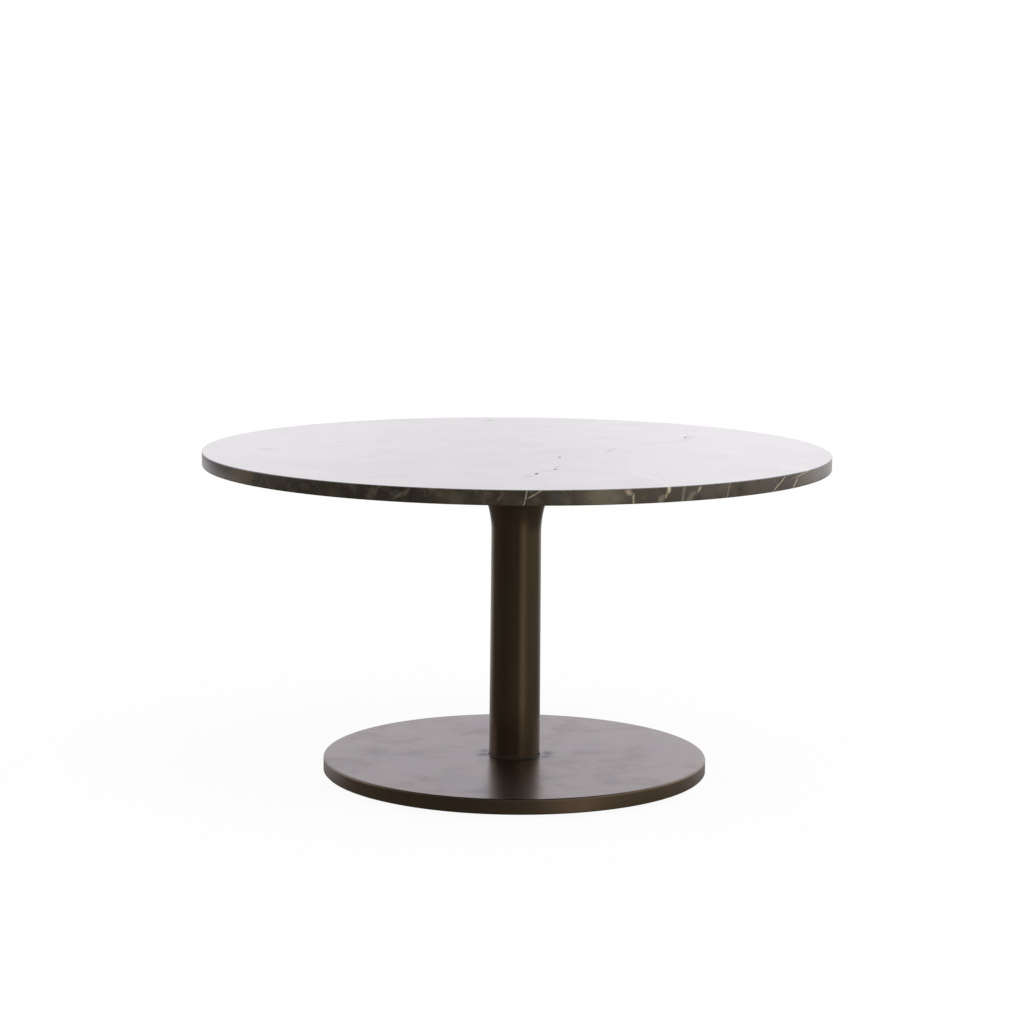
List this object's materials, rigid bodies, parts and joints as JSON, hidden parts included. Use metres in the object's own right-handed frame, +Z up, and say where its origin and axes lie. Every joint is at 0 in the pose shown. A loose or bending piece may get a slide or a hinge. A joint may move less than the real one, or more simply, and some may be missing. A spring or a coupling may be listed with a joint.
{
  "type": "cocktail table",
  "caption": "Low round cocktail table with a polished brown marble top on a bronze-finished pedestal: flared column, flat round base and screw glides for levelling.",
  "frame": {"origin": "on the floor, under the centre of the table", "axes": "+Z up along the column; the glides stand on the diagonals of X and Y"},
  "size_m": [0.7499, 0.75, 0.3955],
  "materials": {
    "brown_marble": "polished, dark olive brown with fine cream veins",
    "bronze_base": "dark antique bronze patina, satin and cloudy, worn on the rim",
    "bronze_column": "dark antique bronze patina, satin",
    "plate_paint": "dark bronze powder coat",
    "bare_steel": "turned steel, lightly oiled",
    "zinc_steel": "zinc plated",
    "brass": "turned brass",
    "black_rubber": "matt sheet rubber",
    "grey_rubber": "matt moulded rubber",
    "black_nylon": "moulded nylon with a fine grain"
  },
  "bodies": {
    "table": {"base_plate": "bronze_base", "column": "bronze_column", "foot_spigot": "bare_steel", "tie_rod": "zinc_steel", "rod_washer": "zinc_steel", "rod_spring_washer": "zinc_steel", "rod_nut": "zinc_steel", "rod_boss": "bare_steel", "centring_ring": "bare_steel", "mounting_plate": "plate_paint", "top_gasket": "black_rubber", "marble_top": "brown_marble", "top_inserts": "brass", "top_washers": "zinc_steel", "top_bolts": "zinc_steel"},
    "glide_foot_1": {"glide_sole_1": "grey_rubber"},
    "glide_screw_1": {"glide_stud_1": "zinc_steel", "glide_knob_1": "black_nylon"},
    "glide_foot_2": {"glide_sole_2": "grey_rubber"},
    "glide_screw_2": {"glide_stud_2": "zinc_steel", "glide_knob_2": "black_nylon"},
    "glide_foot_3": {"glide_sole_3": "grey_rubber"},
    "glide_screw_3": {"glide_stud_3": "zinc_steel", "glide_knob_3": "black_nylon"},
    "glide_foot_4": {"glide_sole_4": "grey_rubber"},
    "glide_screw_4": {"glide_stud_4": "zinc_steel", "glide_knob_4": "black_nylon"}
  },
  "joints": [
    {"name": "glide_lift_1", "type": "slide", "parent": "table", "child": "glide_foot_1", "axis": [0, 0, -1], "range_m": [0, 0.005]},
    {"name": "glide_turn_1", "type": "hinge", "parent": "glide_foot_1", "child": "glide_screw_1", "pos_m": [0.12728, 0.12728, 0.0025], "axis": [0, 0, -1], "range_deg": [0, 1440]},
    {"name": "glide_lift_2", "type": "slide", "parent": "table", "child": "glide_foot_2", "axis": [0, 0, -1], "range_m": [0, 0.005]},
    {"name": "glide_turn_2", "type": "hinge", "parent": "glide_foot_2", "child": "glide_screw_2", "pos_m": [-0.12728, 0.12728, 0.0025], "axis": [0, 0, -1], "range_deg": [0, 1440]},
    {"name": "glide_lift_3", "type": "slide", "parent": "table", "child": "glide_foot_3", "axis": [0, 0, -1], "range_m": [0, 0.005]},
    {"name": "glide_turn_3", "type": "hinge", "parent": "glide_foot_3", "child": "glide_screw_3", "pos_m": [-0.12728, -0.12728, 0.0025], "axis": [0, 0, -1], "range_deg": [0, 1440]},
    {"name": "glide_lift_4", "type": "slide", "parent": "table", "child": "glide_foot_4", "axis": [0, 0, -1], "range_m": [0, 0.005]},
    {"name": "glide_turn_4", "type": "hinge", "parent": "glide_foot_4", "child": "glide_screw_4", "pos_m": [0.12728, -0.12728, 0.0025], "axis": [0, 0, -1], "range_deg": [0, 1440]}
  ],
  "couplings": [
    {"joint": "glide_lift_1", "follows": "glide_turn_1", "m_per_rad": 0.00019894},
    {"joint": "glide_lift_2", "follows": "glide_turn_2", "m_per_rad": 0.00019894},
    {"joint": "glide_lift_3", "follows": "glide_turn_3", "m_per_rad": 0.00019894},
    {"joint": "glide_lift_4", "follows": "glide_turn_4", "m_per_rad": 0.00019894}
  ]
}
